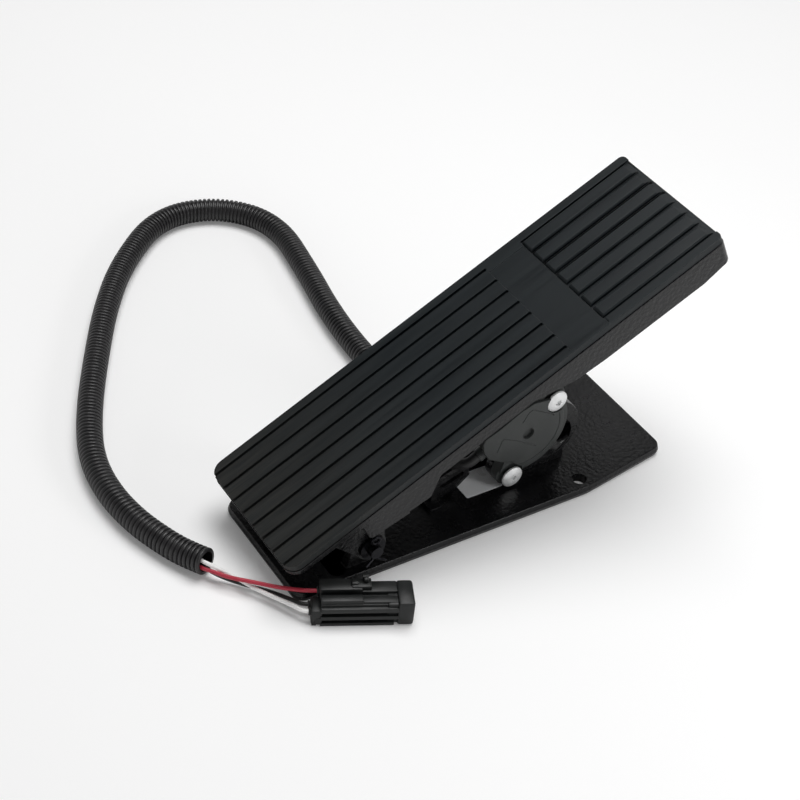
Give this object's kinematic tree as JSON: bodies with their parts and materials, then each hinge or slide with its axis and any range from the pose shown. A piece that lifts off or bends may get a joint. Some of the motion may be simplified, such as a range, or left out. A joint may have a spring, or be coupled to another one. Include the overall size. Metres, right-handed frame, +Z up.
{
  "type": "electronic accelerator pedal",
  "caption": "Floor-mounted electronic accelerator pedal: ribbed rubber treadle on a cast base, roller lever turning an angle sensor, and a sheathed lead ending in a connector.",
  "frame": {"origin": "centre of the four mounting holes, on the underside of the base", "axes": "+X towards the sensor side, +Y from the heel end to the toe end, +Z up"},
  "size_m": [0.4114, 0.3355, 0.1747],
  "materials": {
    "black_coat": "orange-peel black powder coat",
    "zinc_steel": "dull zinc",
    "bright_zinc": "bright zinc",
    "plain_steel": "turned",
    "dark_steel": "black oxide",
    "spring_steel": "drawn wire",
    "bronze": "sintered bronze",
    "pad_rubber": "moulded, slightly glossy",
    "black_rubber": "matt",
    "grey_plastic": "moulded, fine grain",
    "white_plastic": "moulded",
    "silver_label": "satin foil",
    "loom_plastic": "moulded, slightly glossy",
    "red_wire": "extruded",
    "white_wire": "extruded",
    "black_wire": "extruded",
    "connector_plastic": "moulded",
    "tin_plate": "tin"
  },
  "bodies": {
    "base": {"base_plate": "black_coat", "hinge_pin": "zinc_steel", "cotter_pin": "zinc_steel", "hinge_washers": "zinc_steel", "pedestal": "black_coat", "pedestal_screws": "dark_steel", "stop_pins": "plain_steel", "shaft_bushings": "bronze", "sensor_body": "grey_plastic", "sensor_cap": "grey_plastic", "sensor_screws": "bright_zinc", "cable_guide": "black_coat", "cable_guide_screw": "dark_steel", "label_plate": "silver_label", "clip_liner": "black_rubber", "conduit_clip": "zinc_steel", "conduit_clip_screw": "zinc_steel", "sensor_lead": "black_rubber", "conduit": "loom_plastic", "wire_red": "red_wire", "wire_white": "white_wire", "wire_black": "black_wire", "connector_housing": "connector_plastic", "connector_seals": "black_rubber", "connector_lock": "connector_plastic", "connector_terminals": "tin_plate"},
    "treadle": {"treadle": "black_coat", "treadle_pad": "pad_rubber", "hinge_bushings": "bronze", "wear_plate": "plain_steel", "wear_screws": "zinc_steel"},
    "lever": {"lever_shaft": "plain_steel", "shaft_clip": "dark_steel", "lever_arm": "plain_steel", "lever_roll_pin": "dark_steel", "roller_pin": "plain_steel", "roller_clips": "dark_steel", "sensor_rotor": "white_plastic", "far_spring": "spring_steel", "near_spring": "spring_steel"},
    "roller": {"roller": "white_plastic"}
  },
  "joints": [
    {"name": "treadle_hinge", "type": "hinge", "parent": "base", "child": "treadle", "pos_m": [0, -0.0676, 0.0222], "axis": [-1, 0, 0], "range_deg": [0, 12], "stiffness_Nm_per_rad": 9, "springref_deg": -20.05},
    {"name": "lever_pivot", "type": "hinge", "parent": "base", "child": "lever", "pos_m": [0, 0.0486, 0.0479], "axis": [-1, 0, 0], "range_deg": [0, 34.8], "deforming": ["far_spring", "near_spring"]},
    {"name": "roller_spin", "type": "hinge", "parent": "lever", "child": "roller", "pos_m": [-0.008, 0.07695, 0.1119], "axis": [1, 0, 0], "continuous": true}
  ],
  "couplings": [
    {"joint": "lever_pivot", "follows": "treadle_hinge", "ratio": 2.9}
  ]
}
